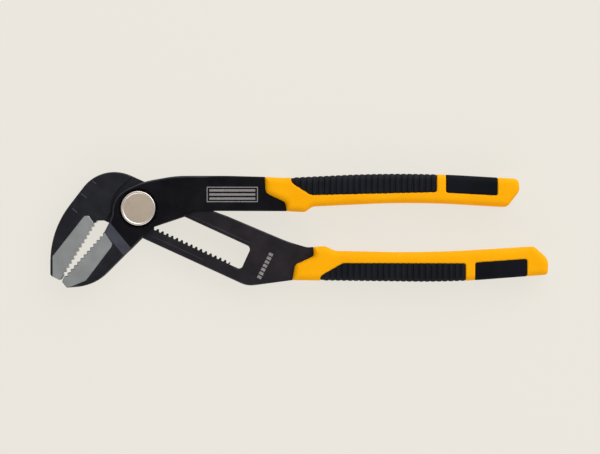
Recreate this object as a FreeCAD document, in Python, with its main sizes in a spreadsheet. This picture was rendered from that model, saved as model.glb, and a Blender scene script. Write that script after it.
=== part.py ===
"""Push-button tongue and groove pliers, 250 mm, lying flat.

The frame: the origin is on the pivot axis, in the plane that the pliers rest on. +X runs towards the
handle ends, +Y towards the upper handle and +Z out of the front, where the push button is. The pliers are
drawn with the jaws closed and the pivot in the first, narrowest place of the slot. All sizes are in
millimetres.
"""

import FreeCAD, Part
import math
import os
import Sketcher
from FreeCAD import Placement, Rotation, Vector

# Driving dimensions: alias, value, what it is
DIMENSIONS = [
    ("box_thickness", 15.0, "both cheeks and the slotted plate between them"),
    ("mid_plane", 7.5, "height of the middle plane of both levers"),
    ("plate_thickness", 7.4, "slotted plate"),
    ("tunnel_height", 7.7, "passage for the plate between the cheeks"),
    ("jaw_thickness", 9.5, "black part of both jaws"),
    ("land_thickness", 10.0, "ground faces of both jaws"),
    ("arm_thickness", 10.0, "handle end of the box lever"),
    ("lever_bevel", 0.8, "bevel along the arm of the box lever"),
    ("tang_thickness", 5.0, "tangs inside the grips"),
    ("core_thickness", 10.0, "yellow core under the black pads"),
    ("slot_angle", -24.6, "direction of the slot from +X, degrees"),
    ("slot_upper", 5.7, "smooth edge of the slot, from the slot's centre line"),
    ("slot_lower", 5.4, "tips of the rack teeth, from the slot's centre line"),
    ("slot_start", -8.6, "jaw end of the slot, along the slot"),
    ("slot_finish", 59.3, "handle end of the slot, along the slot"),
    ("rack_pitch", 2.65, "spacing of the rack teeth"),
    ("rack_depth", 1.3, "depth of the rack teeth"),
    ("rack_teeth", 22, "number of gullets in the rack"),
    ("rack_floor", 9.1, "height where the rack teeth start; below it the edge is relieved"),
    ("jaw_pitch", 2.42, "spacing of the gripping teeth"),
    ("jaw_tooth_depth", 1.1, "depth of the gripping teeth"),
    ("cheek_sweep", 27.8, "circle that the front end of the cheeks swings in"),
    ("counterbore_diameter", 18.6, "recess for the button"),
    ("counterbore_floor", 12.7, "height of the recess floor"),
    ("rim_diameter", 20.4, "outside of the recess chamfer"),
    ("front_bore", 13.0, "bore of the front cheek"),
    ("front_bearing", 12.9, "sleeve diameter in the front cheek"),
    ("rear_bore", 10.4, "bore of the rear cheek"),
    ("rear_bearing", 10.3, "sleeve diameter in the rear cheek"),
    ("rear_recess_diameter", 15.0, "recess for washer and ring"),
    ("rear_recess_depth", 1.2, "recess for washer and ring"),
    ("ring_groove_diameter", 9.0, "bottom of the sleeve's groove for the retaining ring"),
    ("sleeve_bore", 7.4, "bore of the sleeve for the plunger"),
    ("plunger_diameter", 7.2, "barrel of the plunger"),
    ("stem_diameter", 3.0, "stem of the plunger"),
    ("button_diameter", 17.2, "push button"),
    ("button_base", 14.9, "underside of the button at rest"),
    ("button_thickness", 1.5, "push button"),
    ("boss_radius", 2.5, "boss of the plunger, pressed into the button"),
    ("boss_height", 0.8, "boss of the plunger"),
    ("button_travel", 2.0, "push that frees the rack"),
    ("wall_front", 5.4, "front of the wall across the sleeve, where the spring sits"),
    ("wall_rear", 4.4, "back of that wall"),
    ("block_base", 9.3, "underside of the plunger's tooth block at rest"),
    ("block_height", 1.7, "tooth block"),
    ("block_width", 5.6, "tooth block, along the slot"),
    ("spring_top", 13.2, "top of the spring at rest"),
    ("spring_diameter", 5.2, "outside of the return spring"),
    ("spring_wire", 0.6, "wire of the return spring"),
    ("grip_thickness", 15.0, "both grips"),
    ("grip_rounding", 3.0, "rounding of the grips' long edges"),
    ("rib_pitch", 2.97, "spacing of the ribs on the pads"),
    ("rib_count", 24, "ridges on each ribbed pad"),
    ("rib_groove", 1.2, "width of the groove between two ribs"),
    ("rib_depth", 0.7, "depth of the groove between two ribs"),
    ("rib_edge", 0.3, "how far the ribs stand out at the grip's outer edge"),
]

doc = FreeCAD.newDocument("Pliers")
sheet = doc.addObject("Spreadsheet::Sheet", "Dimensions")
for row, (alias, value, note) in enumerate(DIMENSIONS, start=1):
    sheet.set(f"A{row}", note)
    sheet.set(f"B{row}", str(value))
    sheet.setAlias(f"B{row}", alias)
doc.recompute()
DIM = {alias: value for alias, value, note in DIMENSIONS}
SLOT_TURN = DIM["slot_angle"]
CLEARANCE = 0.1  # of the faces that slide or turn on each other
SEAT = 0.05  # of the faces that rest on each other
THROUGH = "200"  # longer than any piece is wide
if DIM["block_base"] + DIM["block_height"] - DIM["button_travel"] > DIM["rack_floor"]:
    raise RuntimeError("the pushed button doesn't free the tooth block from the rack")


# ---------------------------------------------------------------- sketches
START, END, CENTRE = 1, 2, 3  # the points of a sketch's line or arc


def corner_arc(before, here, after, radius):
    """The counter-clockwise arc that rounds a corner, and whether the outline runs along it backwards."""
    back = (before - here).normalize()
    ahead = (after - here).normalize()
    half = back.getAngle(ahead) / 2
    middle = (back + ahead).normalize()
    centre = here + middle * (radius / math.sin(half))
    reach = radius / math.tan(half)
    touches = [here + back * reach - centre, here + ahead * reach - centre]
    backwards = (back.cross(ahead)).z > 0
    if backwards:
        touches.reverse()
    angles = [math.atan2(touch.y, touch.x) for touch in touches]
    if angles[1] < angles[0]:
        angles[1] += 2 * math.pi
    return Part.ArcOfCircle(Part.Circle(centre, Vector(0, 0, 1), radius), *angles), backwards


def rounded(points):
    """Edges of a closed polygon of (x, y, corner radius): lines and tangent arcs, each with its direction."""
    pieces = []
    for i, (x, y, radius) in enumerate(points):
        here = Vector(x, y, 0)
        if radius == 0:
            pieces.append((here, here, None))
            continue
        before = Vector(*points[i - 1][:2], 0)
        after = Vector(*points[(i + 1) % len(points)][:2], 0)
        arc, backwards = corner_arc(before, here, after, radius)
        ends = [arc.StartPoint, arc.EndPoint]
        if backwards:
            ends.reverse()
        pieces.append((*ends, (arc, backwards)))
    edges = []
    for i, (start, end, bend) in enumerate(pieces):
        if bend is not None:
            edges.append(bend)
        following = pieces[(i + 1) % len(pieces)][0]
        if end.distanceToPoint(following) > 1e-6:
            edges.append((Part.LineSegment(end, following), False))
    return edges


def sketch_on(body, name, height="0", turn=0.0, at=(0, 0), upright=False):
    """An empty sketch on the body's XY plane, raised by a sheet expression, moved and turned on its normal.

    An upright sketch stands on that plane: its own x runs along the turned direction and its y runs up.
    """
    sketch = body.newObject("Sketcher::SketchObject", name)
    origin_plane = [f for f in body.Origin.OriginFeatures if f.Role == "XY_Plane"][0]
    sketch.AttachmentSupport = [(origin_plane, "")]
    sketch.MapMode = "FlatFace"
    rotation = Rotation(Vector(0, 0, 1), turn)
    if upright:
        rotation = rotation.multiply(Rotation(Vector(1, 0, 0), 90))
    sketch.AttachmentOffset = Placement(Vector(at[0], at[1], 0), rotation)
    if height != "0":
        sketch.setExpression("AttachmentOffset.Base.z", height)
    return sketch


def outline(body, name, points, **where):
    """A sketch of one closed rounded polygon, its ends joined by constraints."""
    sketch = sketch_on(body, name, **where)
    edges = rounded(points)
    sketch.addGeometry([edge for edge, backwards in edges], False)
    for i, (edge, backwards) in enumerate(edges):
        j = (i + 1) % len(edges)
        leaves = START if backwards else END
        enters = END if edges[j][1] else START
        sketch.addConstraint(Sketcher.Constraint("Coincident", i, leaves, j, enters))
    return sketch


def circle(body, name, diameter, **where):
    """A sketch of one circle about the origin, its diameter bound to a sheet expression."""
    sketch = sketch_on(body, name, **where)
    sketch.addGeometry(Part.Circle(Vector(0, 0, 0), Vector(0, 0, 1), 1.0), False)
    sketch.addConstraint(Sketcher.Constraint("Coincident", 0, CENTRE, -1, START))
    sketch.addConstraint(Sketcher.Constraint("Diameter", 0, 2.0))
    sketch.renameConstraint(1, "diameter")
    sketch.setExpression("Constraints.diameter", diameter)
    return sketch


# ---------------------------------------------------------------- features
def new_body(label):
    """A PartDesign body whose label names its file."""
    body = doc.addObject("PartDesign::Body", label)
    body.Label = label
    return body


def feature(body, kind, name, sketch, length, symmetric=False, reverse=False):
    """A pad or pocket of a sketch, its length bound to a sheet expression."""
    made = body.newObject("PartDesign::" + kind, name)
    made.Profile = sketch
    made.SideType = "Symmetric" if symmetric else "One side"
    made.Reversed = reverse
    made.setExpression("Length", length)
    sketch.Visibility = False
    return made


def pad(body, name, sketch, length, **how):
    """A pad that has to add material."""
    doc.recompute()
    before = body.Shape.Volume if body.Tip else 0.0
    made = feature(body, "Pad", name, sketch, length, **how)
    doc.recompute()
    if not body.Shape.Volume > before + 1e-3:
        raise RuntimeError(f"{body.Label}: {name} adds nothing")
    return made


def pocket(body, name, sketch, length, **how):
    """A pocket that has to take material away."""
    doc.recompute()
    before = body.Shape.Volume
    made = feature(body, "Pocket", name, sketch, length, **how)
    doc.recompute()
    if not body.Shape.Volume < before - 1e-3:
        raise RuntimeError(f"{body.Label}: {name} cuts nothing")
    return made


def pattern(body, name, original, sketch, count, pitch):
    """Copies of a feature along the horizontal axis of its sketch."""
    made = body.newObject("PartDesign::LinearPattern", name)
    made.Originals = [original]
    made.Direction = (sketch, ["H_Axis"])
    made.Mode = "Spacing"
    made.setExpression("Offset", pitch)
    made.setExpression("Occurrences", count)
    body.Tip = made
    doc.recompute()
    return made


def settled(body):
    """The body's shape once everything pending is computed."""
    doc.recompute()
    return body.Tip.Shape


def outward(face, point):
    """The outward normal of a face at a point on it."""
    return face.normalAt(*face.Surface.parameter(point))


def rim_names(shape, wanted=None):
    """The outer corners between an upright wall and a face that looks up or down.

    wanted(wall, middle) can leave some out, by the wall's outward normal and the edge's middle.
    """
    names = []
    for i, edge in enumerate(shape.Edges, start=1):
        faces = shape.ancestorsOfType(edge, Part.Face)
        if len(faces) != 2:
            continue
        middle = edge.valueAt((edge.FirstParameter + edge.LastParameter) / 2)
        wall, level = sorted((outward(face, middle) for face in faces), key=lambda normal: abs(normal.z))
        beside = middle + wall * 0.05 - level * 0.05
        is_rim = abs(wall.z) < 0.1 and abs(level.z) > 0.5 and not shape.isInside(beside, 1e-6, True)
        if is_rim and (wanted is None or wanted(wall, middle)):
            names.append(f"Edge{i}")
    return names


def bevel(body, name, size, names):
    """A chamfer on the named edges of the body's last feature."""
    base = body.Tip
    made = body.newObject("PartDesign::Chamfer", name)
    made.Base = (base, names)
    made.ChamferType = "Equal distance"
    made.setExpression("Size", size)
    doc.recompute()
    if not made.Shape.Volume < base.Shape.Volume:
        raise RuntimeError(f"{body.Label}: {name} bevels nothing")
    return made


# ---------------------------------------------------------------- outlines that pieces share
# Every point is (x, y, corner radius), seen from the front.
# S-curves where the grips end on the steel, from the inner edge of each lever to the outer one
LOWER_FRONT = [(87.3, -19.35, 0), (87.7, -23.9, 1.6), (78.2, -28.2, 3.0), (77.0, -35.95, 0)]
UPPER_FRONT = [(74.1, -1.4, 0), (73.4, 3.0, 2.5), (63.5, 7.7, 3.0), (63.1, 15.75, 0)]
# the hook's throat, its tip and its long back, up to the upper edge of the plate
THROAT = (-20.85, -6.15, 0.8)
HOOK_TIP = [(-39.3, -36.05, 0.5), (-44.2, -33.6, 1.6)]
HOOK_BACK = [(-44.2, -11.0, 46.0), (-18.2, 22.85, 19.5)]
# the straight jaw's gripping edge
LOWER_JAW_START = (-17.0, -11.7, 0.6)
LOWER_JAW_END = (-37.3, -34.4, 0.6)


# ---------------------------------------------------------------- slotted lever
def teeth(body, name, start, finish, into, count):
    """A row of V notches along a jaw, from start towards finish; into is the side of the steel, +1 or -1."""
    turn = math.degrees(math.atan2(finish[1] - start[1], finish[0] - start[0]))
    pitch, depth = DIM["jaw_pitch"], DIM["jaw_tooth_depth"]
    first, overrun = 1.0, 0.4  # where the first notch starts, and how far the notches start above the teeth
    notch = outline(
        body,
        name + "_outline",
        [(first - CLEARANCE, -overrun * into, 0), (first + pitch / 2, depth * into, 0),
         (first + pitch + CLEARANCE, -overrun * into, 0)],
        height="Dimensions.mid_plane",
        turn=turn,
        at=start,
    )
    cut = pocket(body, name + "_first", notch, "Dimensions.box_thickness", symmetric=True)
    return pattern(body, name, cut, notch, str(count), "Dimensions.jaw_pitch")


def slope(body, name, at, turn, run, thickness, reach):
    """Pockets above and below that thin a body from the box thickness to another one.

    The slope starts at a point and drops along the turned direction; the pockets go on for reach.
    """
    top = DIM["box_thickness"]
    low = (top - DIM[thickness]) / 2
    for side, level, beyond in (("front", top - low, top + 1), ("rear", low, -1)):
        face = top if side == "front" else 0.0
        profile = outline(
            body,
            f"{name}_{side}_profile",
            [(0.0, face, 0), (run, level, 0), (reach, level, 0), (reach, beyond, 0), (0.0, beyond, 0)],
            at=at,
            turn=turn,
            upright=True,
        )
        pocket(body, f"{name}_{side}", profile, THROUGH, symmetric=True)


# the tangs inside the grips
LOWER_TANG = [(70.0, -24.5, 0), (94.0, -24.6, 20.0), (146.0, -24.8, 200.0), (197.0, -23.4, 3.0),
              (200.0, -28.0, 2.0), (197.0, -30.2, 3.0), (143.0, -32.6, 150.0), (80.0, -32.0, 0),
              (70.0, -32.0, 0)]
UPPER_TANG = [(60.0, 12.0, 0), (76.0, 12.0, 30.0), (135.0, 13.0, 300.0), (182.0, 11.8, 2.5),
              (186.0, 8.0, 2.0), (182.0, 4.5, 2.5), (138.0, 6.0, 300.0), (84.0, 3.4, 10.0), (77.0, 1.8, 0),
              (60.0, 1.8, 0)]


def slotted_lever():
    """The forging with the hook jaw, the plate with its slot and rack, and the lower tang."""
    body = new_body("slotted_lever")
    mid = "Dimensions.mid_plane"
    hook = outline(
        body,
        "hook_outline",
        [THROAT, *HOOK_TIP, *HOOK_BACK, (-3.3, 16.06, 0), (-9.2, 10.7, 0), (-6.0, 8.0, 0), (-8.0, 0.0, 0),
         (-14.3, -2.2, 0), (-16.3, -6.1, 0.5)],
        height=mid,
    )
    pad(body, "hook", hook, "Dimensions.jaw_thickness", symmetric=True)
    cheek_path = circle(body, "cheek_path", "Dimensions.cheek_sweep", height=mid)
    pocket(body, "cheek_clearance", cheek_path, "Dimensions.box_thickness", symmetric=True)
    land = outline(
        body,
        "hook_land_outline",
        [(-22.0, -8.01, 0), HOOK_TIP[0], (-43.0, -34.2, 0.8), (-43.0, -24.0, 0.8),
         (-27.2, -3.8, 1.2), (-24.9, -3.7, 1.0)],
        height=mid,
    )
    pad(body, "hook_land", land, "Dimensions.land_thickness", symmetric=True)
    plate = outline(
        body,
        "plate_outline",
        [THROAT, *HOOK_TIP, *HOOK_BACK, (25.5, 2.95, 100.0), (44.4, -3.95, 60.0), (74.5, -16.65, 60.0),
         (84.5, -19.6, 5.0), *LOWER_FRONT, (54.4, -38.98, 12.0), (-17.4, -6.1, 0)],
        height=mid,
    )
    pad(body, "plate", plate, "Dimensions.plate_thickness", symmetric=True)
    tang = outline(body, "tang_outline", LOWER_TANG, height=mid)
    pad(body, "tang", tang, "Dimensions.tang_thickness", symmetric=True)
    window = outline(
        body,
        "slot_outline",
        [(DIM["slot_start"], -DIM["slot_lower"], 2.0), (DIM["slot_finish"], -DIM["slot_lower"], 0),
         (DIM["slot_finish"], DIM["slot_upper"], 2.2), (DIM["slot_start"], DIM["slot_upper"], 5.0)],
        height=mid,
        turn=SLOT_TURN,
    )
    pocket(body, "slot", window, "Dimensions.box_thickness", symmetric=True)
    # the rack: trapezoid gullets through the plate, and a relief as deep as they are behind the teeth
    tip_line = -DIM["slot_lower"]
    gullet_line = tip_line - DIM["rack_depth"]
    rack_start = -2 * DIM["rack_pitch"]
    rack_finish = rack_start + DIM["rack_teeth"] * DIM["rack_pitch"]
    slot_corner = outline(
        body,
        "slot_corner_outline",
        [(rack_finish, gullet_line, 0), (DIM["slot_finish"], gullet_line, 2.0), (DIM["slot_finish"], 0.0, 0),
         (rack_finish, 0.0, 0)],
        height=mid,
        turn=SLOT_TURN,
    )
    pocket(body, "slot_corner", slot_corner, "Dimensions.box_thickness", symmetric=True)
    relief = outline(
        body,
        "rack_relief_outline",
        [(rack_start, gullet_line, 0), (rack_finish, gullet_line, 0), (rack_finish, 0.0, 0),
         (rack_start, 0.0, 0)],
        height="Dimensions.rack_floor",
        turn=SLOT_TURN,
    )
    pocket(body, "rack_relief", relief, "Dimensions.plate_thickness")
    mouth, floor, overrun = 0.15, 0.95, 0.4  # where a gullet's side starts, where its floor starts, its excess
    next_tooth = rack_start + DIM["rack_pitch"]
    gullet = outline(
        body,
        "rack_gullet_outline",
        [(rack_start + mouth, tip_line + overrun, 0), (rack_start + floor, gullet_line, 0),
         (next_tooth - floor, gullet_line, 0), (next_tooth - mouth, tip_line + overrun, 0)],
        height=mid,
        turn=SLOT_TURN,
    )
    first = pocket(body, "rack_gullet", gullet, "Dimensions.box_thickness", symmetric=True)
    pattern(body, "rack", first, gullet, "Dimensions.rack_teeth", "Dimensions.rack_pitch")
    teeth(body, "hook_teeth", THROAT, HOOK_TIP[0], -1, 13)
    return body


# ---------------------------------------------------------------- box lever
def box_lever():
    """The forging with the straight jaw, the two cheeks around the plate, and the upper tang."""
    body = new_body("box_lever")
    mid = "Dimensions.mid_plane"
    plan = outline(
        body,
        "box_outline",
        [LOWER_JAW_START, LOWER_JAW_END, (-38.25, -36.75, 0.4), (-35.9, -39.7, 1.0),
         (-22.45, -38.85, 24.0), (7.0, -9.4, 1.5), (22.8, -4.15, 4.0), (27.3, -1.25, 4.0),
         *UPPER_FRONT, (44.0, 16.25, 150.0), (19.0, 16.25, 60.0), (2.2, 13.3, 40.0), (-13.0, 6.2, 12.5),
         (-13.0, -3.0, 6.0), (-14.6, -7.3, 1.0)],
        height=mid,
    )
    pad(body, "box", plan, "Dimensions.box_thickness", symmetric=True)
    # stock above and below the thinner arm, then above and below the thinner jaw
    slope(body, "arm_slope", (16.0, 0.0), 0.0, 18.0, "arm_thickness", 220.0)
    slope(body, "jaw_slope", (-11.9, -9.9), 219.8, 5.3, "jaw_thickness", 60.0)
    long_arm = rim_names(settled(body), lambda wall, middle: 34.0 < middle.x < 62.5 and abs(wall.y) > 0.9)
    bevel(body, "arm_rim", "Dimensions.lever_bevel", long_arm)
    land = outline(
        body,
        "jaw_land_outline",
        [LOWER_JAW_START, LOWER_JAW_END, (-38.25, -36.75, 0.4), (-35.9, -39.7, 1.0), (-33.4, -39.2, 1.5),
         (-26.2, -36.2, 1.5), (-13.4, -19.3, 1.2), (-13.0, -17.6, 1.0)],
        height=mid,
    )
    pad(body, "jaw_land", land, "Dimensions.land_thickness", symmetric=True)
    tang = outline(body, "tang_outline", UPPER_TANG, height=mid)
    pad(body, "tang", tang, "Dimensions.tang_thickness", symmetric=True)
    tunnel = outline(
        body,
        "tunnel_outline",
        [(12.0, 12.2, 0), (9.4, 17.7, 0), (-20.0, 22.0, 0), (-23.0, -3.88, 0), (-9.8, -9.9, 0.8),
         (-3.2, -23.8, 0), (40.0, -23.8, 0), (46.8, -3.72, 0)],
        height=mid,
    )
    pocket(body, "tunnel", tunnel, "Dimensions.tunnel_height", symmetric=True)
    top = "Dimensions.box_thickness"
    recess = circle(body, "button_recess_circle", "Dimensions.counterbore_diameter", height=top)
    pocket(body, "button_recess", recess, "Dimensions.box_thickness - Dimensions.counterbore_floor")
    mouth = []
    axis_point = Vector(0, 0, DIM["box_thickness"])
    for i, edge in enumerate(settled(body).Edges, start=1):
        if isinstance(edge.Curve, Part.Circle) and edge.Curve.Center.distanceToPoint(axis_point) < 0.01:
            mouth.append(f"Edge{i}")
    bevel(body, "recess_rim", "(Dimensions.rim_diameter - Dimensions.counterbore_diameter) / 2", mouth)
    bore = circle(body, "front_bore_circle", "Dimensions.front_bore", height=top)
    pocket(body, "front_bore", bore, "Dimensions.box_thickness / 2")
    bore = circle(body, "rear_bore_circle", "Dimensions.rear_bore")
    pocket(body, "rear_bore", bore, "Dimensions.box_thickness / 2", reverse=True)
    recess = circle(body, "rear_recess_circle", "Dimensions.rear_recess_diameter")
    pocket(body, "rear_recess", recess, "Dimensions.rear_recess_depth", reverse=True)
    teeth(body, "jaw_teeth", LOWER_JAW_START, LOWER_JAW_END, 1, 12)
    return body


# ---------------------------------------------------------------- pivot and push button
def turned(body, name, profile):
    """A solid of revolution about the pivot axis; the profile is (radius, height, corner radius)."""
    sketch = outline(body, name + "_profile", profile, upright=True)
    made = body.newObject("PartDesign::Revolution", name)
    made.Profile = sketch
    made.ReferenceAxis = (sketch, ["V_Axis"])
    made.Angle = 360.0
    sketch.Visibility = False
    doc.recompute()
    return made


def pivot_sleeve():
    """The hollow bolt: round in both cheeks, flat-sided in the slot, with a window for the tooth block."""
    body = new_body("pivot_sleeve")
    front, rear = DIM["front_bearing"] / 2, DIM["rear_bearing"] / 2
    bore, stem = DIM["sleeve_bore"] / 2, DIM["stem_diameter"] / 2 + CLEARANCE
    groove, groove_low, groove_high = DIM["ring_groove_diameter"] / 2, 0.25, 0.8
    low, top = CLEARANCE, DIM["counterbore_floor"] - CLEARANCE
    shoulder = (DIM["box_thickness"] - DIM["tunnel_height"]) / 2 + SEAT
    turned(
        body,
        "bolt",
        [(bore, low, 0), (rear, low, 0), (rear, groove_low, 0), (groove, groove_low, 0),
         (groove, groove_high, 0), (rear, groove_high, 0), (rear, shoulder, 0), (front, shoulder, 0),
         (front, top, 0), (bore, top, 0), (bore, DIM["wall_front"], 0), (stem, DIM["wall_front"], 0),
         (stem, DIM["wall_rear"], 0), (bore, DIM["wall_rear"], 0)],
    )
    slot_zone = (DIM["box_thickness"] + DIM["tunnel_height"]) / 2 - CLEARANCE
    beyond = DIM["rim_diameter"]
    for side, start, finish in (
        ("upper", DIM["slot_upper"] - CLEARANCE, beyond),
        ("lower", -beyond, CLEARANCE - DIM["slot_lower"]),
    ):
        flat = outline(
            body,
            side + "_flat_outline",
            [(-beyond, start, 0), (beyond, start, 0), (beyond, finish, 0), (-beyond, finish, 0)],
            height=str(shoulder),
            turn=SLOT_TURN,
        )
        pocket(body, side + "_flat", flat, str(slot_zone - shoulder), reverse=True)
    half = DIM["block_width"] / 2 + CLEARANCE
    window = outline(
        body,
        "block_window_outline",
        [(-half, -beyond, 0), (half, -beyond, 0), (half, 0.0, 0), (-half, 0.0, 0)],
        height="Dimensions.wall_front",
        turn=SLOT_TURN,
    )
    pocket(body, "block_window", window, "Dimensions.box_thickness", reverse=True)
    return body


def lock_plunger():
    """The plunger under the button: a cup for the spring, a stem, and the block with two rack teeth."""
    body = new_body("lock_plunger")
    barrel, stem = DIM["plunger_diameter"] / 2, DIM["stem_diameter"] / 2
    cup = DIM["spring_diameter"] / 2 + 2 * CLEARANCE
    boss, boss_top = DIM["boss_radius"], DIM["button_base"] + DIM["boss_height"]
    groove_depth, groove_width, tail = 0.4, 0.6, 0.6
    groove_low = DIM["wall_rear"] - 0.1 - groove_width
    top, bottom, roof = DIM["button_base"], DIM["block_base"] - 1.5, DIM["spring_top"] + SEAT
    turned(
        body,
        "plunger",
        [(0.0, groove_low - tail, 0), (stem, groove_low - tail, 0), (stem, groove_low, 0),
         (stem - groove_depth, groove_low, 0), (stem - groove_depth, groove_low + groove_width, 0),
         (stem, groove_low + groove_width, 0), (stem, roof, 0), (cup, roof, 0), (cup, bottom, 0),
         (barrel, bottom, 0), (barrel, top, 0), (boss, top, 0), (boss, boss_top, 0), (0.0, boss_top, 0)],
    )
    half, pitch = DIM["block_width"] / 2, DIM["rack_pitch"]
    root = 2 * CLEARANCE - DIM["slot_lower"]
    tip, inside = root - DIM["rack_depth"], -3.0
    foot, point = 1.0, 0.28  # half the width of a tooth at its foot and at its tip
    profile = [(-half, inside, 0), (-half, root, 0)]
    for centre in (-pitch / 2, pitch / 2):
        profile += [(centre - foot, root, 0), (centre - point, tip, 0)]
        profile += [(centre + point, tip, 0), (centre + foot, root, 0)]
    profile += [(half, root, 0), (half, inside, 0)]
    block = outline(body, "tooth_block_outline", profile, height="Dimensions.block_base", turn=SLOT_TURN)
    pad(body, "tooth_block", block, "Dimensions.block_height")
    return body


def push_button():
    """The satin disc, with a rounded rim and a shallow ring around a flat face."""
    body = new_body("push_button")
    radius, base = DIM["button_diameter"] / 2, DIM["button_base"]
    top = base + DIM["button_thickness"]
    socket, socket_top = DIM["boss_radius"] + 0.02, base + DIM["boss_height"] + SEAT
    rim, ring = 1.4, 1.8  # from the edge in: where the rim ends and where the face starts
    turned(
        body,
        "disc",
        [(socket, base, 0), (radius, base, 0.2), (radius, top - 0.1, 0.5), (radius - rim, top, 0.3),
         (radius - ring, top - 0.2, 0.2), (0.0, top - 0.1, 0), (0.0, socket_top, 0), (socket, socket_top, 0)],
    )
    return body


def return_spring():
    """A coil of round wire about the pivot axis, between the sleeve's wall and the plunger."""
    body = new_body("return_spring")
    wire = DIM["spring_wire"] / 2
    low, high = DIM["wall_front"] + SEAT + wire, DIM["spring_top"] - wire
    sketch = sketch_on(body, "wire_section", upright=True)
    centre = Vector(DIM["spring_diameter"] / 2 - wire, low, 0)
    sketch.addGeometry(Part.Circle(centre, Vector(0, 0, 1), wire), False)
    coil = body.newObject("PartDesign::AdditiveHelix", "coil")
    coil.Profile = sketch
    coil.ReferenceAxis = (sketch, ["V_Axis"])
    coil.Mode = "height-turns-angle"
    coil.Height = high - low
    coil.Turns = 6.0
    coil.Angle = 0.0
    coil.Growth = 0.0
    sketch.Visibility = False
    doc.recompute()
    return body


def flat_ring(label, inside, outside, low, thickness, gap=0.0):
    """A washer, or an open retaining ring when it has a gap."""
    body = new_body(label)
    hole, edge, high = inside / 2, outside / 2, low + thickness
    turned(body, "ring", [(hole, low, 0), (edge, low, 0), (edge, high, 0), (hole, high, 0)])
    if gap:
        opening = outline(
            body,
            "gap_outline",
            [(0.0, -gap / 2, 0), (outside, -gap / 2, 0), (outside, gap / 2, 0), (0.0, gap / 2, 0)],
            height="Dimensions.mid_plane",
        )
        pocket(body, "gap", opening, "Dimensions.box_thickness", symmetric=True)
    return body


# ---------------------------------------------------------------- grips
UPPER_GRIP = [*UPPER_FRONT, (72.5, 15.2, 40.0), (133.0, 18.2, 600.0), (189.9, 14.75, 2.2),
              (190.8, 9.0, 5.0), (184.3, 0.6, 3.5), (138.0, 3.35, 480.0), (87.0, 0.95, 5.0),
              (83.2, -1.85, 2.0)]
LOWER_GRIP = [*LOWER_FRONT, (156.0, -36.95, 400.0), (204.7, -33.2, 2.0), (205.0, -25.5, 6.0),
              (197.9, -19.1, 2.0), (146.0, -22.35, 600.0), (98.6, -21.35, 5.0), (93.4, -18.95, 5.0)]
# the black pads, each open towards the grip's outer side
UPPER_RIBBED = [(75.7, 20.0, 0), (76.5, 12.8, 2.0), (86.2, 6.6, 4.0), (149.1, 8.1, 0.8), (149.1, 20.0, 0)]
UPPER_END = [(153.7, 20.0, 0), (153.7, 7.8, 0.8), (179.4, 6.4, 0.8), (179.4, 20.0, 0)]
LOWER_RIBBED = [(90.6, -40.0, 0), (91.0, -33.8, 1.5), (102.2, -27.4, 4.0), (163.5, -27.6, 0.8),
                (163.5, -40.0, 0)]
LOWER_END = [(168.3, -40.0, 0), (168.3, -27.1, 0.8), (194.2, -25.3, 0.8), (194.2, -40.0, 0)]
# the yellow core under the pads
UPPER_CORE = [(74.5, 12.6, 0), (133.0, 15.6, 600.0), (181.5, 12.7, 0), (181.5, 5.0, 0),
              (138.0, 6.0, 300.0), (84.0, 4.6, 0), (76.5, 9.0, 0)]
LOWER_CORE = [(89.5, -33.4, 0), (156.0, -34.35, 400.0), (196.5, -31.4, 0), (196.5, -24.0, 0),
              (146.0, -25.8, 600.0), (100.0, -25.5, 0), (91.0, -30.0, 0)]


def prism(label, points, height, thickness, shift=0.0, rim=0.0):
    """A helper body: an outline extruded about the middle plane, its rims rounded if rim is given."""
    body = new_body(label)
    moved = [(x, y + shift, radius) for x, y, radius in points]
    plan = outline(body, label + "_outline", moved, height=height)
    pad(body, label + "_solid", plan, thickness, symmetric=True)
    doc.recompute()
    if rim:
        base = body.Tip
        rounding = body.newObject("PartDesign::Fillet", label + "_rim")
        rounding.Base = (base, rim_names(base.Shape))
        rounding.Radius = rim
        doc.recompute()
    return body


def joined(kind, name, base, tool):
    """A Part boolean of two objects: Cut, Fuse or Common."""
    made = doc.addObject("Part::" + kind, name)
    made.Base = base
    made.Tool = tool
    doc.recompute()
    return made


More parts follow.
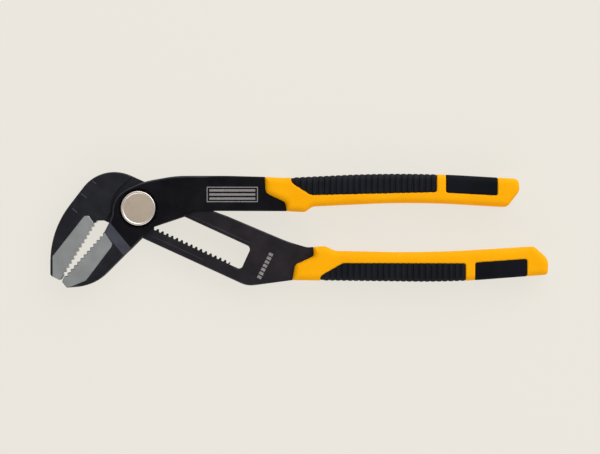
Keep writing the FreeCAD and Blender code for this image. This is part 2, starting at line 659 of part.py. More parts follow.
def grip(name, points, ribbed, end, core_points, tang_points, rib_start, inward):
    """One moulded grip: the yellow sleeve with its core, and two black pads around the core's outer side."""
    mid = "Dimensions.mid_plane"
    blank = prism(name + "_blank", points, mid, "Dimensions.grip_thickness", rim=DIM["grip_rounding"])
    ribbed_region = prism(name + "_ribbed_region", ribbed, mid, "2 * Dimensions.grip_thickness")
    end_region = prism(name + "_end_region", end, mid, "2 * Dimensions.grip_thickness")
    core = prism(name + "_core", core_points, mid, "Dimensions.core_thickness")
    tang = prism(name + "_tang_space", tang_points, mid, "Dimensions.tang_thickness")
    sleeve = joined("Cut", name + "_sleeve_front", blank, ribbed_region)
    sleeve = joined("Cut", name + "_sleeve_shell", sleeve, end_region)
    sleeve = joined("Fuse", name + "_sleeve_whole", sleeve, core)
    sleeve = joined("Cut", name + "_sleeve", sleeve, tang)
    # the ribbed pad is a thinner copy of the blank with full-size ridges on it
    thin = prism(
        name + "_thin_blank", points, mid, "Dimensions.grip_thickness - 2 * Dimensions.rib_depth",
        shift=inward * DIM["rib_edge"], rim=DIM["grip_rounding"] - DIM["rib_depth"] / 2,
    )
    ridges = new_body(name + "_ridges")
    rib_end = rib_start + DIM["rib_pitch"] - DIM["rib_groove"]
    below, above = -45.0, 25.0  # beyond both grips
    plan = outline(
        ridges,
        name + "_ridge_outline",
        [(rib_start, below, 0), (rib_end, below, 0), (rib_end, above, 0), (rib_start, above, 0)],
        height=mid,
    )
    first = pad(ridges, name + "_ridge", plan, "2 * Dimensions.grip_thickness", symmetric=True)
    pattern(ridges, name + "_ridge_row", first, plan, "Dimensions.rib_count", "Dimensions.rib_pitch")
    ribs = joined("Common", name + "_ribs", blank, ridges)
    pad_solid = joined("Fuse", name + "_pad_body", thin, ribs)
    pad_solid = joined("Common", name + "_pad_trimmed", pad_solid, ribbed_region)
    joined("Cut", name.replace("_grip", "") + "_ribbed_pad", pad_solid, core)
    end_pad = joined("Common", name + "_end_trimmed", blank, end_region)
    joined("Cut", name.replace("_grip", "") + "_end_pad", end_pad, core)


# ---------------------------------------------------------------- the whole tool
slotted_lever()
box_lever()
pivot_sleeve()
lock_plunger()
push_button()
return_spring()
flat_ring("thrust_washer", inside=10.5, outside=14.4, low=0.83, thickness=0.32)
flat_ring("sleeve_retaining_ring", inside=9.04, outside=13.4, low=0.3, thickness=0.45, gap=3.2)
flat_ring("plunger_clip", inside=2.24, outside=6.2, low=3.75, thickness=0.5, gap=1.9)
grip("upper_grip", UPPER_GRIP, UPPER_RIBBED, UPPER_END, UPPER_CORE, UPPER_TANG, rib_start=78.2, inward=-1)
grip("lower_grip", LOWER_GRIP, LOWER_RIBBED, LOWER_END, LOWER_CORE, LOWER_TANG, rib_start=93.0, inward=1)
doc.recompute()

SUB_PARTS = [
    "slotted_lever", "box_lever", "pivot_sleeve", "lock_plunger", "push_button", "return_spring",
    "thrust_washer", "sleeve_retaining_ring", "plunger_clip",
    "upper_grip_sleeve", "upper_ribbed_pad", "upper_end_pad",
    "lower_grip_sleeve", "lower_ribbed_pad", "lower_end_pad",
]
failed = [obj.Label for obj in doc.Objects if "Invalid" in obj.State or "Error" in obj.State]
if failed:
    raise RuntimeError(f"these objects failed: {failed}")
os.makedirs("parts", exist_ok=True)
for label in SUB_PARTS:
    sub_part = doc.getObjectsByLabel(label)[0]
    shape = sub_part.Shape
    if shape.isNull() or not shape.isValid():
        raise RuntimeError(f"{label} has no valid shape")
    shape.exportStep(f"parts/{label}.step")
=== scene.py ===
"""Looks of the push-button tongue and groove pliers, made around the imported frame.

Sizes in this file are in millimetres, in the frame's own axes: the origin is on the pivot axis in the
plane that the pliers rest on, +X runs towards the handle ends and +Z out of the front. Blender works in
metres, so MM turns one into the other wherever a size reaches it. Angles are written in degrees.
"""

import math

import bmesh
import bpy
from mathutils import Matrix, Vector


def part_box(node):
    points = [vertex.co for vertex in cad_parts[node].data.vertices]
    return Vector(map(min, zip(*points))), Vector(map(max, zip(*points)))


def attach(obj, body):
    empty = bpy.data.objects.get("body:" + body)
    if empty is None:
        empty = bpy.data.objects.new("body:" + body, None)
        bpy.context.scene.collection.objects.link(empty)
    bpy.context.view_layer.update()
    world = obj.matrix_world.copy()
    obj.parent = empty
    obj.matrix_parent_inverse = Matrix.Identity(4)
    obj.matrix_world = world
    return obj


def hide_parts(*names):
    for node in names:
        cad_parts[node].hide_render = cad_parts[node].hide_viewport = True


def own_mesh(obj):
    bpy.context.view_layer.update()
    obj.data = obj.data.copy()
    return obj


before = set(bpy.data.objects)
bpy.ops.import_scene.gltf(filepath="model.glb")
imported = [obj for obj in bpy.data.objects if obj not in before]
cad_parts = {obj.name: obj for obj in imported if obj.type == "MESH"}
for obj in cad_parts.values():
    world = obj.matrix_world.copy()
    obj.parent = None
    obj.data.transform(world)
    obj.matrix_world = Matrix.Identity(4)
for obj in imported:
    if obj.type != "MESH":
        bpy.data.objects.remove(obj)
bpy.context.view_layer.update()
scene = bpy.context.scene
MM = 0.001

# ---------------------------------------------------------------- sizes, all in millimetres
MIDDLE = 7.5  # height of the levers' middle plane
LAND_LEVEL = 12.5  # front of the ground jaw faces, and of the arm
HOOK_FRONT = 12.25  # front of the hook's coated part
PLATE_FRONT = 11.2  # front of the slotted plate
TUNNEL = 4.5  # half height of the tunnel between the cheeks, with its rims

SLOT_TURN = math.radians(-24.6)  # direction of the slot
SLOT_REACH = -9.0, 60.0  # the slot with its rims, along it from the pivot
SLOT_SIDES = -7.0, 6.0  # and across it
RACK_START, RACK_END = -5.0, 53.0  # the rack's teeth, along the slot
RAIL_SIDES = -9.0, 8.0  # the plate's outer edges lie beyond these, across the slot
RAIL_START = 18.0  # along the slot, where the rails come out from under the cheeks
RAIL_END = 77.0  # x where the lower grip begins

HOOK_TEETH = ((-20.85, -6.15), (-39.3, -36.05))  # line of the hook jaw's teeth, throat to tip
JAW_TEETH = ((-17.0, -11.7), (-37.3, -34.4))  # line of the straight jaw's teeth
TOOTH_DEPTH = 1.1
TEETH_MARGIN = 0.4, 0.5  # beside the teeth's depth, and beyond the ends of their line
HOOK_LAND_FROM, JAW_LAND_FROM = -18.0, -12.0  # highest x of each ground land
JAWS_FROM = -10.0  # highest x of both jaws' faces
SLOPE_FROM = -3.0  # highest x of the slope between the cheek and the straight jaw
SLOPE_TOP = -6.9  # highest y of the same slope
HOOK_BACKWARD = Vector((-0.77, 0.64, 0.0))  # direction from the mouth to the hook's back

BESIDE_CHEEK = 15.0  # within this radius the hook's back stays as it is, beside the cheek
RECESS_RIM = 10.6  # radius within which the edges are the button recess's own
RECESS_CHAMFER = 9.3, 10.2  # radii between which the recess's chamfer lies
BOX_BEVEL = -31.0, 62.5  # x from just short of the jaw's tip to the upper grip

LEVER_ROUNDING = 0.8  # widths of the rounded edges
RAIL_ROUNDING = 0.7
LAND_ROUNDING = 0.2
RACK_ROUNDING = 0.12
LEVEL_MATCH = 0.02  # how near a level an edge or a face lies to be on it
BEVELLED_MATCH = 0.1  # the same for an edge that an earlier bevel may have moved
LYING = 0.9  # a face looks up or down if its normal's z is past this
SEAM = 0.001  # gaps that are closed: between a CAD mesh's faces,
SLIVER = 0.06  # between points too close to be bevelled,
CRUMB = 0.02  # and those that a bevel leaves


# ---------------------------------------------------------------- materials
COLOUR_NOISE = 0.35, 0.65  # the noise's values that give the dark and the light colour
ROUGHNESS_NOISE = 0.3, 0.7  # and those that give the lowest and the highest roughness


def material(name, colour, roughness, metallic=0.0, specular=0.5):
    """A Principled material with plain values, to which the functions below add texture."""
    made = bpy.data.materials.new(name)
    made.use_nodes = True
    shader = made.node_tree.nodes["Principled BSDF"]
    shader.inputs["Base Color"].default_value = (*colour, 1.0)
    shader.inputs["Roughness"].default_value = roughness
    shader.inputs["Metallic"].default_value = metallic
    shader.inputs["Specular IOR Level"].default_value = specular
    return made


def grain(made, size, stretch=(1.0, 1.0, 1.0), turn=0.0, detail=3.0):
    """The output of a noise whose grains are about this size in millimetres, fixed to the piece."""
    tree = made.node_tree
    place = tree.nodes.new("ShaderNodeTexCoord")
    mapping = tree.nodes.new("ShaderNodeMapping")
    mapping.vector_type = "TEXTURE"
    mapping.inputs["Rotation"].default_value = (0.0, 0.0, turn)
    mapping.inputs["Scale"].default_value = tuple(size * MM * factor for factor in stretch)
    noise = tree.nodes.new("ShaderNodeTexNoise")
    noise.inputs["Scale"].default_value = 1.0
    noise.inputs["Detail"].default_value = detail
    tree.links.new(place.outputs["Object"], mapping.inputs["Vector"])
    tree.links.new(mapping.outputs["Vector"], noise.inputs["Vector"])
    return noise.outputs["Fac"]


def vary_colour(made, source, dark, light):
    """Colour between dark and light, by a noise."""
    tree = made.node_tree
    ramp = tree.nodes.new("ShaderNodeValToRGB")
    low, high = ramp.color_ramp.elements
    low.position, high.position = COLOUR_NOISE
    low.color, high.color = (*dark, 1.0), (*light, 1.0)
    tree.links.new(source, ramp.inputs["Fac"])
    tree.links.new(ramp.outputs["Color"], tree.nodes["Principled BSDF"].inputs["Base Color"])


def change_along_x(made, source, dark, light, start, finish):
    """Another pair of colours at low x, which gives way to the material's own between two places."""
    tree = made.node_tree
    base = tree.nodes["Principled BSDF"].inputs["Base Color"]
    own = base.links[0].from_socket
    vary_colour(made, source, dark, light)
    other = base.links[0].from_socket
    place = tree.nodes.new("ShaderNodeTexCoord")
    split = tree.nodes.new("ShaderNodeSeparateXYZ")
    fade = tree.nodes.new("ShaderNodeMapRange")
    fade.inputs["From Min"].default_value = start * MM
    fade.inputs["From Max"].default_value = finish * MM
    blend = tree.nodes.new("ShaderNodeMixRGB")
    tree.links.new(place.outputs["Object"], split.inputs["Vector"])
    tree.links.new(split.outputs["X"], fade.inputs["Value"])
    tree.links.new(fade.outputs["Result"], blend.inputs["Fac"])
    tree.links.new(other, blend.inputs["Color1"])
    tree.links.new(own, blend.inputs["Color2"])
    tree.links.new(blend.outputs["Color"], base)


def vary_roughness(made, source, low, high):
    """Roughness between low and high, by a noise."""
    tree = made.node_tree
    scale = tree.nodes.new("ShaderNodeMapRange")
    scale.inputs["From Min"].default_value = ROUGHNESS_NOISE[0]
    scale.inputs["From Max"].default_value = ROUGHNESS_NOISE[1]
    scale.inputs["To Min"].default_value = low
    scale.inputs["To Max"].default_value = high
    tree.links.new(source, scale.inputs["Value"])
    tree.links.new(scale.outputs["Result"], tree.nodes["Principled BSDF"].inputs["Roughness"])


def bump(made, *layers):
    """Relief from noises: each layer is (noise, depth in millimetres, strength)."""
    tree = made.node_tree
    normal = None
    for source, depth, strength in layers:
        relief = tree.nodes.new("ShaderNodeBump")
        relief.inputs["Distance"].default_value = depth * MM
        relief.inputs["Strength"].default_value = strength
        tree.links.new(source, relief.inputs["Height"])
        if normal is not None:
            tree.links.new(normal, relief.inputs["Normal"])
        normal = relief.outputs["Normal"]
    tree.links.new(normal, tree.nodes["Principled BSDF"].inputs["Normal"])


def coated_forging(name, dark, light, roughness=(0.36, 0.48), specular=0.2):
    """Black oxide over a forged, shot-blasted surface."""
    made = material(name, light, sum(roughness) / 2, specular=specular)
    vary_colour(made, grain(made, 9.0), dark, light)
    vary_roughness(made, grain(made, 2.5), *roughness)
    bump(made, (grain(made, 6.0), 0.10, 0.35), (grain(made, 0.5, detail=4.0), 0.03, 0.4))
    return made


def ground_steel(name, turn):
    """Bare steel with the fine parallel lines of a grinding wheel."""
    made = material(name, (0.47, 0.485, 0.48), 0.42, metallic=1.0)
    lines = grain(made, 0.3, stretch=(40.0, 1.0, 40.0), turn=turn, detail=4.0)
    vary_colour(made, lines, (0.43, 0.445, 0.44), (0.5, 0.515, 0.51))
    vary_roughness(made, grain(made, 6.0), 0.38, 0.46)
    bump(made, (lines, 0.008, 0.4))
    return made


def satin_metal(name, colour, roughness):
    """Plated or turned metal with a fine satin finish."""
    made = material(name, colour, roughness, metallic=1.0)
    vary_roughness(made, grain(made, 3.0), roughness - 0.015, roughness + 0.015)
    bump(made, (grain(made, 0.12, detail=2.0), 0.002, 0.3))
    return made


def moulded_rubber(name, dark, light, roughness, specular=0.14):
    """Moulded grip plastic with a fine spark-eroded grain."""
    made = material(name, light, roughness, specular=specular)
    vary_colour(made, grain(made, 14.0), dark, light)
    vary_roughness(made, grain(made, 3.0), roughness - 0.05, roughness + 0.07)
    bump(made, (grain(made, 0.35, detail=2.0), 0.03, 0.35), (grain(made, 5.0), 0.06, 0.3))
    return made


UPPER_COAT = coated_forging(
    "coat_upper", (0.0034, 0.0032, 0.0048), (0.0068, 0.0064, 0.0088), specular=0.08
)
# Painted light: a lighter tone of the same black coat for the hook and the straight jaw's faces, standing
# in for the light their faces catch.
HOOK_LIT_TONES = (0.009, 0.0092, 0.0125), (0.0155, 0.016, 0.021)
HOOK_LIT_COAT = coated_forging("coat_hook_lit", *HOOK_LIT_TONES)
LOWER_COAT = coated_forging("coat_lower", (0.0115, 0.009, 0.0112), (0.019, 0.0145, 0.018))
# The lower lever's coat shades over into these painted lighter tones towards the hook, between x 5 and 30.
change_along_x(LOWER_COAT, grain(LOWER_COAT, 9.0), *HOOK_LIT_TONES, start=5.0, finish=30.0)
# Painted light: a lighter copy of the black coat for faces that would catch the lamps, namely the jaw's
# slope and the struck strokes.
PAINTED_LIGHT_COAT = coated_forging("coat_painted_light", (0.044, 0.046, 0.061), (0.064, 0.067, 0.086))
# Painted highlight: a lighter copy of the black coat, put on bevels and ribs that face the lamps in place
# of the light they would catch.
HIGHLIGHT_COAT = coated_forging("coat_painted_highlight", (0.02, 0.0205, 0.026), (0.036, 0.037, 0.046))
RECESS_COAT = coated_forging(
    "coat_recess", (0.006, 0.006, 0.0075), (0.011, 0.011, 0.0135), roughness=(0.17, 0.24), specular=0.7
)
HOOK_GROUND = ground_steel("ground_hook", math.radians(100))
JAW_GROUND = ground_steel("ground_jaw", math.radians(60))
NICKEL = satin_metal("satin_nickel_face", (0.76, 0.63, 0.49), 0.42)
NICKEL_RIM = satin_metal("satin_nickel_rim", (0.86, 0.79, 0.72), 0.33)
TURNED = satin_metal("turned_steel_plain", (0.42, 0.42, 0.43), 0.32)
SPRING = satin_metal("spring_steel", (0.3, 0.3, 0.32), 0.25)
YELLOW = moulded_rubber(
    "yellow_rubber", (0.95, 0.4, 0.0), (0.98, 0.425, 0.0005), 0.56, specular=0.07
)
RIBBED_PAD = moulded_rubber("ribbed_rubber", (0.005, 0.0055, 0.0085), (0.0085, 0.009, 0.0135), 0.6)
END_PAD = moulded_rubber(
    "smooth_rubber", (0.004, 0.0044, 0.0066), (0.0065, 0.007, 0.0105), 0.62, specular=0.06
)
PRINT = material("grey_print", (0.24, 0.222, 0.216), 0.5, specular=0.3)
vary_colour(PRINT, grain(PRINT, 0.5), (0.19, 0.176, 0.172), (0.3, 0.278, 0.271))


# ---------------------------------------------------------------- meshes made from the CAD solids
def weld(bm, gap):
    """Joins the points that lie closer together than this gap in millimetres."""
    bmesh.ops.remove_doubles(bm, verts=bm.verts, dist=gap * MM)


def copied(node):
    """A copy of a CAD node's mesh, with its seams closed."""
    bm = bmesh.new()
    bm.from_mesh(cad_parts[node].data)
    weld(bm, SEAM)
    return bm


def editable(node):
    """A copy of a CAD node's mesh whose flat faces are whole, so that its edges can be bevelled."""
    bm = copied(node)
    bmesh.ops.dissolve_limit(bm, angle_limit=math.radians(0.5), verts=bm.verts, edges=bm.edges)
    weld(bm, SLIVER)
    return bm


def new_piece(bm, name, materials):
    """An object made from an edited mesh."""
    mesh = bpy.data.meshes.new(name)
    for made in materials:
        mesh.materials.append(made)
    bm.to_mesh(mesh)
    bm.free()
    if "custom_normal" in mesh.attributes:  # the CAD mesh's normals don't fit the edited one
        mesh.attributes.remove(mesh.attributes["custom_normal"])
    piece = bpy.data.objects.new(name, mesh)
    scene.collection.objects.link(piece)
    return piece


def install(piece, body, slot, *nodes):
    """The piece rides on a body and stands for any CAD nodes named; its slot argument is not used."""
    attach(piece, body)
    if nodes:
        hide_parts(*nodes)
    return piece


def shade(piece, limit):
    """Smooth shading, except at corners that turn by more than this limit."""
    piece.data.shade_smooth()
    piece.data.set_sharp_from_angle(angle=math.radians(limit))


def soften(piece):
    """Smooth shading over the bevels, with the large faces kept flat."""
    shade(piece, 40)
    weighted = piece.modifiers.new("weighted_normals", "WEIGHTED_NORMAL")
    weighted.keep_sharp = True
    weighted.weight = 100


def in_mm(point):
    """A mesh point in millimetres."""
    return Vector(point) / MM


def on_level(point, level, match=LEVEL_MATCH):
    """Whether a point lies at this height, or at its mirror image behind the middle plane."""
    return abs(abs(point.z - MIDDLE) - (level - MIDDLE)) < match


def corner(edge):
    """How far a convex corner turns at this edge, in degrees; negative if it is hollow."""
    if len(edge.link_faces) != 2:
        return 0.0
    return math.degrees(edge.calc_face_angle_signed(0.0))


def rims(bm, wanted):
    """Convex edges between an upright wall and a face that looks up or down, where wanted() holds."""
    found = []
    for edge in bm.edges:
        if corner(edge) < 30.0:
            continue
        wall, level = sorted((face.normal for face in edge.link_faces), key=lambda normal: abs(normal.z))
        upright, lying = abs(wall.z) < 0.2, abs(level.z) > 0.5
        middle = in_mm((edge.verts[0].co + edge.verts[1].co) / 2)
        if upright and lying and wanted(middle, wall):
            found.append(edge)
    return found


def bevel(bm, edges, width, segments, slot):
    """Bevels edges by a width in millimetres and gives the new faces a material slot."""
    made = bmesh.ops.bevel(
        bm,
        geom=edges,
        offset=width * MM,
        offset_type="OFFSET",
        segments=segments,
        profile=0.5,
        affect="EDGES",
        clamp_overlap=False,
        loop_slide=True,
    )
    for face in made["faces"]:
        face.material_index = slot
    weld(bm, CRUMB)


def beside_line(point, line):
    """Distance of a point from a line in plan, and how far along it lies, in millimetres."""
    start = Vector(line[0]).to_3d()
    along = Vector(line[1]).to_3d() - start
    offset = Vector((point.x, point.y, 0.0)) - start
    reach = offset.dot(along.normalized())
    return abs(offset.cross(along.normalized()).z), reach, along.length


def ground_faces(bm, slot, line, land_from, with_teeth):
    """Gives a material slot to a jaw's ground land, and to its teeth if they are ground too."""
    for face in bm.faces:
        middle = in_mm(face.calc_center_median())
        if middle.x > land_from:
            continue
        away, reach, length = beside_line(middle, line)
        upright = abs(face.normal.z) < LYING
        beside, beyond = TEETH_MARGIN
        at_teeth = away < TOOTH_DEPTH + beside and -beyond < reach < length + beyond
        on_land = on_level(middle, LAND_LEVEL) and not upright
        if on_land or (with_teeth and at_teeth and upright):
            face.material_index = slot


def land_rim(middle, wall):
    """The outline of both faces of a jaw's land, teeth and all."""
    return on_level(middle, LAND_LEVEL) and middle.x < JAWS_FROM


def across_slot(point):
    """A point's place along and across the slot, in millimetres."""
    along = point.x * math.cos(SLOT_TURN) + point.y * math.sin(SLOT_TURN)
    across = point.y * math.cos(SLOT_TURN) - point.x * math.sin(SLOT_TURN)
    return along, across


def from_slot(along, across):
    """The x and y of a place along and across the slot, in millimetres."""
    x = along * math.cos(SLOT_TURN) - across * math.sin(SLOT_TURN)
    y = along * math.sin(SLOT_TURN) + across * math.cos(SLOT_TURN)
    return x, y


def slotted_lever():
    """The lower lever: its hook, its ground land, and the rails, rack and window of its slotted plate."""
    coat, edge, ground, hook = range(4)
    bm = editable("slotted_lever")

    def hook_back(middle, wall):
        away_from_mouth = wall.dot(HOOK_BACKWARD) > -0.3
        beside_cheek = math.hypot(middle.x, middle.y) < BESIDE_CHEEK
        return on_level(middle, HOOK_FRONT) and away_from_mouth and not beside_cheek

    def window(middle, wall):
        along, across = across_slot(middle)
        at_slot = SLOT_REACH[0] < along < SLOT_REACH[1] and SLOT_SIDES[0] < across < SLOT_SIDES[1]
        no_teeth = along > RACK_END or along < RACK_START or across > 0.0 or middle.z < MIDDLE
        return on_level(middle, PLATE_FRONT, BEVELLED_MATCH) and at_slot and no_teeth

    def rail(middle, wall):
        along, across = across_slot(middle)
        outside = across < RAIL_SIDES[0] or across > RAIL_SIDES[1]
        bare = along > RAIL_START and middle.x < RAIL_END
        return on_level(middle, PLATE_FRONT, BEVELLED_MATCH) and outside and bare

    def rack(middle, wall):
        along, across = across_slot(middle)
        in_front = abs(middle.z - PLATE_FRONT) < LEVEL_MATCH
        return in_front and RACK_START < along < RACK_END and SLOT_SIDES[0] < across < 0.0

    bevel(bm, rims(bm, hook_back), LEVER_ROUNDING, 3, coat)
    bevel(bm, rims(bm, window), LEVER_ROUNDING, 2, coat)
    # The rail and rack bevels take the lighter coat as a painted highlight.
    bevel(bm, rims(bm, rail), RAIL_ROUNDING, 2, edge)
    bevel(bm, rims(bm, rack), RACK_ROUNDING, 1, edge)
    bevel(bm, rims(bm, land_rim), LAND_ROUNDING, 1, ground)
    ground_faces(bm, ground, HOOK_TEETH, HOOK_LAND_FROM, with_teeth=True)
    for face in bm.faces:
        # Painted light: the coat on the hook's side of x 0 takes the lighter tones.
        if face.material_index == coat and face.calc_center_median().x < 0.0:
            face.material_index = hook
        # Painted shade: rail bevel facets that face -y go back to the dark coat, so only the side towards
        # the light looks lit.
        elif face.material_index == edge and face.normal.y < -0.5:
            face.material_index = coat
    coats = [LOWER_COAT, HIGHLIGHT_COAT, HOOK_GROUND, HOOK_LIT_COAT]
    piece = new_piece(bm, "slotted_lever_forging", coats)
    soften(piece)
    return install(piece, "slotted_lever", "coated_forging", "slotted_lever")


def box_lever():
    """The upper lever, with a bevel around the cheeks and down to the arm and the jaw."""
    coat, edge, ground, jaw, slope, recess = range(6)
    bm = editable("box_lever")

    def outer(middle, wall):
        in_recess = math.hypot(middle.x, middle.y) < RECESS_RIM
        on_slope = middle.y < SLOPE_TOP and wall.x < -0.6 and wall.y > -0.4
        in_tunnel = abs(middle.z - MIDDLE) < TUNNEL
        left_out = in_recess or on_slope or in_tunnel or land_rim(middle, wall)
        return not left_out and BOX_BEVEL[0] < middle.x < BOX_BEVEL[1]

    # The outer bevels take the lighter coat as a painted highlight; those facing -y go back to the dark
    # coat as painted shade.
    bevel(bm, rims(bm, outer), LEVER_ROUNDING, 2, edge)
    bevel(bm, rims(bm, land_rim), LAND_ROUNDING, 1, coat)
    for face in bm.faces:
        if face.material_index == edge and face.normal.y < -0.1:
            face.material_index = coat
    ground_faces(bm, ground, JAW_TEETH, JAW_LAND_FROM, with_teeth=False)
    for face in bm.faces:
        middle, up = in_mm(face.calc_center_median()), abs(face.normal.z)
        radius = math.hypot(middle.x, middle.y)
        at_recess = RECESS_CHAMFER[0] < radius < RECESS_CHAMFER[1] and middle.z > MIDDLE
        below_land = abs(middle.z - MIDDLE) < LAND_LEVEL - MIDDLE
        if at_recess and 0.5 < up < 0.85:
            face.material_index = recess
        elif face.material_index == coat and middle.x < SLOPE_FROM:
            # Painted light: the tilted faces of the slope take the lighter coat, as if lit from the lower
            # left.
            if 0.7 < up < LYING:
                face.material_index = slope
            # Painted light: the straight jaw's flat faces below its land take the hook's lighter tones.
            elif up > LYING and middle.x < JAWS_FROM and below_land:
                face.material_index = jaw
    coats = [UPPER_COAT, HIGHLIGHT_COAT, JAW_GROUND, HOOK_LIT_COAT, PAINTED_LIGHT_COAT, RECESS_COAT]
    piece = new_piece(bm, "box_lever_forging", coats)
    soften(piece)
    return install(piece, "box_lever", "coated_forging", "box_lever")


def moulded(node, name, made, voxel, relax):
    """A soft-edged copy of a grip's CAD solid: an even mesh of it, relaxed a few times."""
    piece = new_piece(editable(node), name, [made])
    remesh = piece.modifiers.new("remesh", "REMESH")
    remesh.mode = "VOXEL"
    remesh.voxel_size = voxel * MM
    smooth = piece.modifiers.new("relax", "SMOOTH")
    smooth.factor = 0.5
    smooth.iterations = relax
    evaluated = piece.evaluated_get(bpy.context.evaluated_depsgraph_get())
    mesh = bpy.data.meshes.new_from_object(evaluated)
    piece.modifiers.clear()
    piece.data = mesh
    mesh.materials.clear()
    mesh.materials.append(made)
    mesh.shade_smooth()
    return piece


def grip(side, body):
    """One grip: the yellow sleeve and its two black pads."""
    sleeve = moulded(f"{side}_grip_sleeve", f"{side}_grip_moulding", YELLOW, voxel=0.42, relax=4)
    ribbed = moulded(f"{side}_ribbed_pad", f"{side}_ribbed_moulding", RIBBED_PAD, voxel=0.3, relax=3)
    end = moulded(f"{side}_end_pad", f"{side}_end_moulding", END_PAD, voxel=0.35, relax=3)
    install(sleeve, body, "yellow_grip", f"{side}_grip_sleeve")
    install(ribbed, body, "black_pad", f"{side}_ribbed_pad")
    install(end, body, "black_pad", f"{side}_end_pad")


# ---------------------------------------------------------------- turned pieces
def revolved(name, profile, slots, materials):
    """A closed disc turned about the pivot axis.

    The profile is a list of (radius, height) in millimetres, and slots gives the material slot of the face
    that follows each of its points.
    """
    steps = 160
    bm = bmesh.new()
    rings = []
    for radius, height in profile:
        if radius == 0.0:
            rings.append([bm.verts.new((0.0, 0.0, height * MM))])
            continue
        ring = []
        for step in range(steps):
            angle = 2 * math.pi * step / steps
            x, y = radius * math.cos(angle), radius * math.sin(angle)
            ring.append(bm.verts.new((x * MM, y * MM, height * MM)))
        rings.append(ring)
    for first, second, slot in zip(rings, rings[1:], slots):
        for step in range(steps):
            after = (step + 1) % steps
            corners = [first[step % len(first)], first[after % len(first)]]
            corners += [second[after % len(second)], second[step % len(second)]]
            unique = list(dict.fromkeys(corners))
            if len(unique) > 2:
                face = bm.faces.new(unique)
                face.material_index = slot
    bmesh.ops.recalc_face_normals(bm, faces=bm.faces)
    piece = new_piece(bm, name, materials)
    shade(piece, 35)
    return piece


def quarter_round(centre, radius, steps):
    """Points of a profile's rounded top edge, from its side up; centre is (radius, height)."""
    points = []
    for step in range(steps + 1):
        angle = math.radians(90 * step / steps)
        points.append((centre[0] + radius * math.cos(angle), centre[1] + radius * math.sin(angle)))
    return points


def push_button():
    """The satin disc: a bright rounded rim, a step, and a faintly domed face."""
    face_slot, rim_slot = 0, 1
    low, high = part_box("push_button")
    base, top, edge = low.z / MM, high.z / MM, high.x / MM
    chamfer, rounding, dome, rings = 0.25, 0.45, 0.08, 8
    step_down = ((0.95, 0.02), (1.1, 0.1), (1.25, 0.22))  # in from the edge, down from the top
    face_radius, face_level = edge - 1.35, top - step_down[-1][1]

    rim = quarter_round((edge - rounding, top - rounding), rounding, rings)
    profile = [(0.0, base), (edge - chamfer, base), (edge, base + chamfer), *rim]
    rim_faces = len(profile) + 2
    profile += [(edge - inward, top - down) for inward, down in step_down]
    for ring in range(rings):
        part = 1 - (ring + 1) / rings
        profile.append((face_radius * part, face_level + dome * (1 - part**2)))
    slots = [rim_slot if i < rim_faces else face_slot for i in range(len(profile))]
    piece = revolved("push_button_disc", profile, slots, [NICKEL, NICKEL_RIM])
    return install(piece, "lock", "satin_nickel", "push_button")


def return_spring():
    """The coil spring, copied from its CAD solid onto a mesh of its own."""
    piece = new_piece(copied("return_spring"), "return_spring_coil", [SPRING])
    shade(piece, 50)
    install(piece, "pivot", "spring_wire", "return_spring")
    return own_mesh(piece)


# ---------------------------------------------------------------- printed marks
def bar(bm, centre, size, turn, level, height=0.03):
    """A thin printed bar lying on a face at the given level."""
    box = bmesh.ops.create_cube(bm, size=1.0)
    spin = Matrix.Rotation(turn, 4, "Z")
    place = Matrix.Translation((centre[0] * MM, centre[1] * MM, (level + height / 2) * MM))
    scale = Matrix.Diagonal((size[0] * MM, size[1] * MM, height * MM, 1.0))
    bmesh.ops.transform(bm, matrix=place @ spin @ scale, verts=box["verts"])


def round_bars(bm, width, segments):
    """Rounds every edge of the bars made so far."""
    bmesh.ops.bevel(
        bm, geom=bm.edges[:], offset=width * MM, segments=segments, profile=0.5, affect="EDGES"
    )


def printed_panel():
    """A plain outlined panel of bars on the upper arm."""
    bm = bmesh.new()
    left, right, bottom, top, line = 34.1, 59.7, 3.1, 10.75, 0.45
    margin, rows, first_row, row_pitch, row_height = 1.3, 3, 1.75, 2.05, 1.15
    middle = ((left + right) / 2, (bottom + top) / 2)
    for y in (bottom + line / 2, top - line / 2):
        bar(bm, (middle[0], y), (right - left, line), 0.0, LAND_LEVEL)
    for x in (left + line / 2, right - line / 2):
        bar(bm, (x, middle[1]), (line, top - bottom - 2 * line), 0.0, LAND_LEVEL)
    for row in range(rows):
        y = bottom + first_row + row * row_pitch
        bar(bm, (middle[0], y), (right - left - 2 * margin, row_height), 0.0, LAND_LEVEL)
    piece = new_piece(bm, "printed_panel", [PRINT])
    return install(piece, "box_lever", "coated_forging")


def printed_row():
    """A short row of plain bars across the lower lever."""
    bm = bmesh.new()
    start, finish = Vector((60.0, -35.4)), Vector((66.6, -22.2))
    turn = math.atan2(finish.y - start.y, finish.x - start.x)
    bars, bar_size = 7, (1.45, 2.2)
    for step in range(bars):
        centre = start.lerp(finish, (step + 0.5) / bars)
        bar(bm, centre, bar_size, turn, PLATE_FRONT)
    piece = new_piece(bm, "printed_row", [PRINT])
    return install(piece, "slotted_lever", "coated_forging")


def rail_ribs():
    """A low forged rib along each rail of the slotted plate."""
    bm = bmesh.new()
    ribs = ((6.0, 40.0, -9.9), (24.0, 58.0, 7.4))  # start and finish along the slot, place across it
    width, height = 0.45, 0.1
    for start, finish, across in ribs:
        centre = from_slot((start + finish) / 2, across)
        bar(bm, centre, (finish - start, width), SLOT_TURN, PLATE_FRONT, height)
    round_bars(bm, 0.04, 1)
    # The ribs carry the lighter coat as a painted highlight line along each rail.
    piece = new_piece(bm, "rail_ribs", [HIGHLIGHT_COAT])
    piece.data.shade_smooth()
    return install(piece, "slotted_lever", "coated_forging")


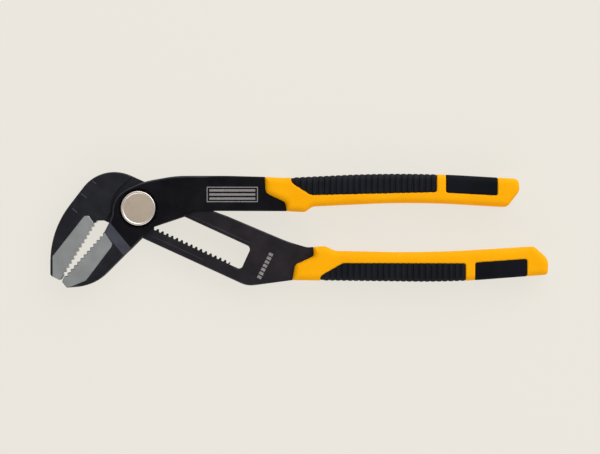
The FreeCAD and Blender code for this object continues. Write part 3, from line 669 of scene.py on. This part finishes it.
def struck_lines():
    """Short raised strokes across the hook's back, as the forging die leaves them."""
    bm = bmesh.new()
    strokes = (
        ((-28.8, 7.3), (-26.0, 5.2)),
        ((-23.2, 13.6), (-21.2, 12.2)),
        ((-33.2, 0.0), (-30.6, -2.2)),
    )
    width, height = 0.5, 0.25
    for start, finish in strokes:
        start, finish = Vector(start), Vector(finish)
        along = finish - start
        turn = math.atan2(along.y, along.x)
        bar(bm, (start + finish) / 2, (along.length, width), turn, HOOK_FRONT, height)
    round_bars(bm, 0.12, 2)
    # The strokes take the lighter coat as a painted highlight.
    piece = new_piece(bm, "struck_lines", [PAINTED_LIGHT_COAT])
    piece.data.shade_smooth()
    return install(piece, "slotted_lever", "coated_forging")


# ---------------------------------------------------------------- the studio
def paper_floor():
    """A large pale sheet that glows a little, so that it stays even under the object."""
    made = material("floor_paper", (0.1, 0.097, 0.09), 1.0, specular=0.0)
    shader = made.node_tree.nodes["Principled BSDF"]
    shader.inputs["Emission Color"].default_value = (0.83, 0.8, 0.73, 1.0)
    shader.inputs["Emission Strength"].default_value = 0.88
    just_below = -0.1 * MM
    bpy.ops.mesh.primitive_plane_add(size=4.0, location=(0.08, -0.01, just_below))
    floor = bpy.context.object
    floor.name = "floor"
    floor.data.materials.append(made)


def tent():
    """Soft light from all round, dim at the horizon and straight above."""
    world = bpy.data.worlds.new("tent")
    scene.world = world
    world.use_nodes = True
    tree = world.node_tree
    place = tree.nodes.new("ShaderNodeTexCoord")
    split = tree.nodes.new("ShaderNodeSeparateXYZ")
    ramp = tree.nodes.new("ShaderNodeValToRGB")
    stops = ramp.color_ramp.elements
    bluish = 1.02
    for height, level in ((0.0, 0.3), (0.3, 0.8), (0.55, 0.85), (0.85, 0.6)):
        stop = stops[0] if height == 0.0 else stops.new(height)
        stop.color = (level, level, level * bluish, 1.0)
    stops[-1].color = (0.5, 0.5, 0.5, 1.0)
    background = tree.nodes["Background"]
    background.inputs["Strength"].default_value = 0.65
    tree.links.new(place.outputs["Generated"], split.inputs["Vector"])
    tree.links.new(split.outputs["Z"], ramp.inputs["Fac"])
    tree.links.new(ramp.outputs["Color"], background.inputs["Color"])


def softbox(name, turn, tilt, width, height, power):
    """A rectangular lamp in metres and watts, aimed at the middle of the object."""
    target, distance = Vector((0.08, 0.0, 0.0)), 1.2
    turn, tilt = math.radians(turn), math.radians(tilt)
    away = Vector((math.cos(tilt) * math.cos(turn), math.cos(tilt) * math.sin(turn), math.sin(tilt)))
    light = bpy.data.lights.new(name, "AREA")
    light.shape = "RECTANGLE"
    light.size, light.size_y = width, height
    light.energy = power
    lamp = bpy.data.objects.new(name, light)
    scene.collection.objects.link(lamp)
    lamp.location = target + away * distance
    lamp.rotation_euler = (-away).to_track_quat("-Z", "Y").to_euler()


def camera():
    """Straight above, with this width of the levers' front plane across the picture."""
    distance, across, centre = 1.3, 300.0 * MM, Vector((80.75, -9.35)) * MM
    data = bpy.data.cameras.new("camera")
    data.sensor_width = 36.0
    data.lens = data.sensor_width * distance / across
    data.clip_start, data.clip_end = 0.01, 20.0
    held = bpy.data.objects.new("camera", data)
    scene.collection.objects.link(held)
    held.location = (*centre, LAND_LEVEL * MM + distance)
    scene.camera = held


scene.view_settings.view_transform = "Standard"
camera()
paper_floor()
tent()
softbox("key", turn=65, tilt=42, width=1.7, height=1.1, power=12.0)
softbox("fill", turn=-80, tilt=35, width=1.4, height=0.7, power=4.5)
softbox("strip", turn=50, tilt=9, width=1.1, height=0.25, power=3.0)
slotted_lever()
box_lever()
grip("upper", "box_lever")
grip("lower", "slotted_lever")
push_button()
return_spring()
printed_panel()
printed_row()
rail_ribs()
struck_lines()
for node, made in (
    ("pivot_sleeve", TURNED),
    ("lock_plunger", TURNED),
    ("thrust_washer", TURNED),
    ("sleeve_retaining_ring", SPRING),
    ("plunger_clip", SPRING),
):
    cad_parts[node].data.materials[0] = made
